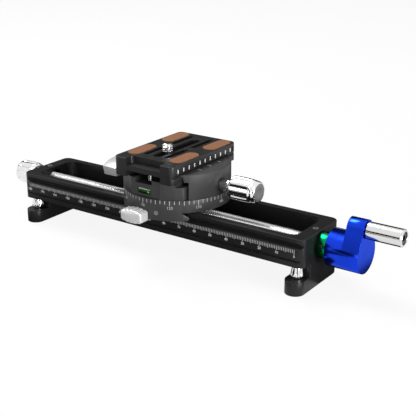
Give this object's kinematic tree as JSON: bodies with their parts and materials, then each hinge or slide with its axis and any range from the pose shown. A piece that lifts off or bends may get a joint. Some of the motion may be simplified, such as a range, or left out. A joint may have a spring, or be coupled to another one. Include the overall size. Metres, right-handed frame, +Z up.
{
  "type": "macro focusing rail",
  "caption": "Screw-driven macro focusing rail with a crank, levelling feet, and a panning dovetail clamp that carries a slotted camera plate.",
  "frame": {"origin": "centre of the rail's underside, at the mouth of the tripod socket", "axes": "+X along the rail towards the crank, +Y to the back, +Z up"},
  "size_m": [0.2538, 0.0657, 0.062],
  "materials": {
    "rail": "matt black anodised",
    "rail_dark": "matt black anodised",
    "steel": "bright turned steel",
    "dark_steel": "blackened steel",
    "chrome": "polished",
    "brass": "machined",
    "green": "green anodised",
    "blue": "blue anodised",
    "silver": "satin",
    "carriage": "satin dark grey anodised",
    "polymer": "matt black",
    "pad": "matt brown",
    "vial": "clear green"
  },
  "bodies": {
    "rail": {"rail_body": "rail", "foot_left": "rail_dark", "foot_right": "rail_dark"},
    "lead_screw": {"lead_screw": "steel", "lock_collar": "green", "crank_body": "blue", "handle_pin": "dark_steel", "end_knob": "chrome"},
    "handle": {"crank_handle": "silver"},
    "carriage": {"carriage_base": "carriage", "guide_strip_front": "polymer", "guide_strip_back": "polymer", "lead_nut": "brass", "pan_post": "dark_steel", "pan_retainer": "dark_steel"},
    "carriage_lock": {"carriage_lock_knob": "chrome", "carriage_lock_screw": "steel"},
    "clamp": {"clamp_body": "carriage", "level_vial": "vial"},
    "pan_lock": {"pan_lock_knob": "chrome", "pan_lock_screw": "steel"},
    "jaw": {"clamp_jaw": "carriage"},
    "jaw_screw": {"clamp_knob": "chrome", "clamp_screw": "steel"},
    "plate": {"quick_plate": "carriage", "pad_left_front": "pad", "pad_left_back": "pad", "pad_right_front": "pad", "pad_right_back": "pad", "stop_pin": "steel"},
    "camera_slider": {"camera_washer": "dark_steel"},
    "camera_screw": {"camera_screw": "steel"},
    "level_nut_left_front": {"level_nut_left_front": "chrome"},
    "level_pin_left_front": {"level_pin_left_front": "steel"},
    "level_nut_left_back": {"level_nut_left_back": "chrome"},
    "level_pin_left_back": {"level_pin_left_back": "steel"},
    "level_nut_right_front": {"level_nut_right_front": "chrome"},
    "level_pin_right_front": {"level_pin_right_front": "steel"},
    "level_nut_right_back": {"level_nut_right_back": "chrome"},
    "level_pin_right_back": {"level_pin_right_back": "steel"}
  },
  "joints": [
    {"name": "lead_screw_spin", "type": "hinge", "parent": "rail", "child": "lead_screw", "pos_m": [0, 0, 0.0075], "axis": [1, 0, 0], "range_deg": [-13248.5, 16704.5]},
    {"name": "handle_spin", "type": "hinge", "parent": "lead_screw", "child": "handle", "pos_m": [0.125, 0, 0.0204], "axis": [1, 0, 0], "continuous": true},
    {"name": "carriage_slide", "type": "slide", "parent": "rail", "child": "carriage", "axis": [1, 0, 0], "range_m": [-0.058, 0.046]},
    {"name": "carriage_lock_turn", "type": "hinge", "parent": "carriage", "child": "carriage_lock", "pos_m": [0.001, -0.033, 0.0127], "axis": [0, 1, 0], "range_deg": [-60, 60]},
    {"name": "pan", "type": "hinge", "parent": "carriage", "child": "clamp", "pos_m": [0.0052, 0, 0.025], "axis": [0, 0, 1], "continuous": true},
    {"name": "pan_lock_turn", "type": "hinge", "parent": "clamp", "child": "pan_lock", "pos_m": [-0.035, 0, 0.0246], "axis": [1, 0, 0], "range_deg": [-60, 60]},
    {"name": "jaw_slide", "type": "slide", "parent": "clamp", "child": "jaw", "axis": [1, 0, 0], "range_m": [0, 0.003]},
    {"name": "jaw_screw_turn", "type": "hinge", "parent": "jaw", "child": "jaw_screw", "pos_m": [0.045, 0, 0.0271], "axis": [1, 0, 0], "range_deg": [-0.5, 1350.5]},
    {"name": "plate_slide", "type": "slide", "parent": "clamp", "child": "plate", "axis": [0, 1, 0], "range_m": [-0.008, 0.015]},
    {"name": "camera_screw_slide", "type": "slide", "parent": "plate", "child": "camera_slider", "axis": [0, 1, 0], "range_m": [-0.007, 0.022]},
    {"name": "camera_screw_turn", "type": "hinge", "parent": "camera_slider", "child": "camera_screw", "pos_m": [0.0052, -0.0085, 0.0422], "axis": [0, 0, 1], "continuous": true},
    {"name": "level_nut_turn_left_front", "type": "hinge", "parent": "rail", "child": "level_nut_left_front", "pos_m": [-0.0894, -0.014, -0.004], "axis": [0, 0, 1], "range_deg": [-0.5, 1440.5]},
    {"name": "level_pin_slide_left_front", "type": "slide", "parent": "rail", "child": "level_pin_left_front", "axis": [0, 0, -1], "range_m": [0, 0.002]},
    {"name": "level_nut_turn_left_back", "type": "hinge", "parent": "rail", "child": "level_nut_left_back", "pos_m": [-0.0894, 0.014, -0.004], "axis": [0, 0, 1], "range_deg": [-0.5, 1440.5]},
    {"name": "level_pin_slide_left_back", "type": "slide", "parent": "rail", "child": "level_pin_left_back", "axis": [0, 0, -1], "range_m": [0, 0.002]},
    {"name": "level_nut_turn_right_front", "type": "hinge", "parent": "rail", "child": "level_nut_right_front", "pos_m": [0.0894, -0.014, -0.004], "axis": [0, 0, 1], "range_deg": [-0.5, 1440.5]},
    {"name": "level_pin_slide_right_front", "type": "slide", "parent": "rail", "child": "level_pin_right_front", "axis": [0, 0, -1], "range_m": [0, 0.002]},
    {"name": "level_nut_turn_right_back", "type": "hinge", "parent": "rail", "child": "level_nut_right_back", "pos_m": [0.0894, 0.014, -0.004], "axis": [0, 0, 1], "range_deg": [-0.5, 1440.5]},
    {"name": "level_pin_slide_right_back", "type": "slide", "parent": "rail", "child": "level_pin_right_back", "axis": [0, 0, -1], "range_m": [0, 0.002]}
  ],
  "couplings": [
    {"joint": "lead_screw_spin", "follows": "carriage_slide", "rad_per_m": -5026.5},
    {"joint": "jaw_screw_turn", "follows": "jaw_slide", "rad_per_m": 7854},
    {"joint": "level_nut_turn_left_front", "follows": "level_pin_slide_left_front", "rad_per_m": 12566},
    {"joint": "level_nut_turn_left_back", "follows": "level_pin_slide_left_back", "rad_per_m": 12566},
    {"joint": "level_nut_turn_right_front", "follows": "level_pin_slide_right_front", "rad_per_m": 12566},
    {"joint": "level_nut_turn_right_back", "follows": "level_pin_slide_right_back", "rad_per_m": 12566}
  ]
}
